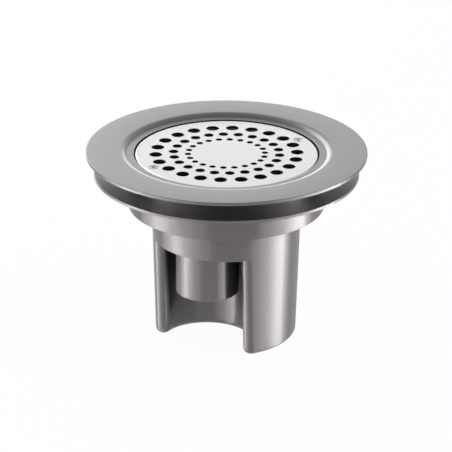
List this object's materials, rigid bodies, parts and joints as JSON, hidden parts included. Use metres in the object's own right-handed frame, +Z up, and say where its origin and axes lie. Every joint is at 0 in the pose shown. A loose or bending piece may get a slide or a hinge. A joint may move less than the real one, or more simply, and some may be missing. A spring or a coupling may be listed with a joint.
{
  "type": "floor drain",
  "caption": "Round floor drain with a screwed perforated grate in a wide cover flange, a lower flange and collar, and a crescent water trap with a vertical outlet pipe.",
  "frame": {"origin": "on the drain's axis at the plane of the trap cup's foot", "axes": "+Z up along the drain's axis, out of the grate; the outlet channel opens towards -Y and -X"},
  "size_m": [0.18, 0.18, 0.1257],
  "materials": {
    "grey_plastic": "satin moulded grey",
    "stainless": "bright polished sheet",
    "screw_steel": "bright turned",
    "seal_rubber": "matt black",
    "funnel_plastic": "matt dark grey"
  },
  "bodies": {
    "root": {"top_frame": "grey_plastic", "grate": "stainless", "grate_screws": "screw_steel", "sleeve_seal": "seal_rubber", "drain_body": "grey_plastic", "cup_seal": "seal_rubber", "trap_cup": "grey_plastic", "outlet_pipe": "grey_plastic", "dip_funnel": "funnel_plastic", "dip_tube": "funnel_plastic", "lift_bar": "funnel_plastic", "funnel_seal": "seal_rubber"}
  },
  "joints": []
}
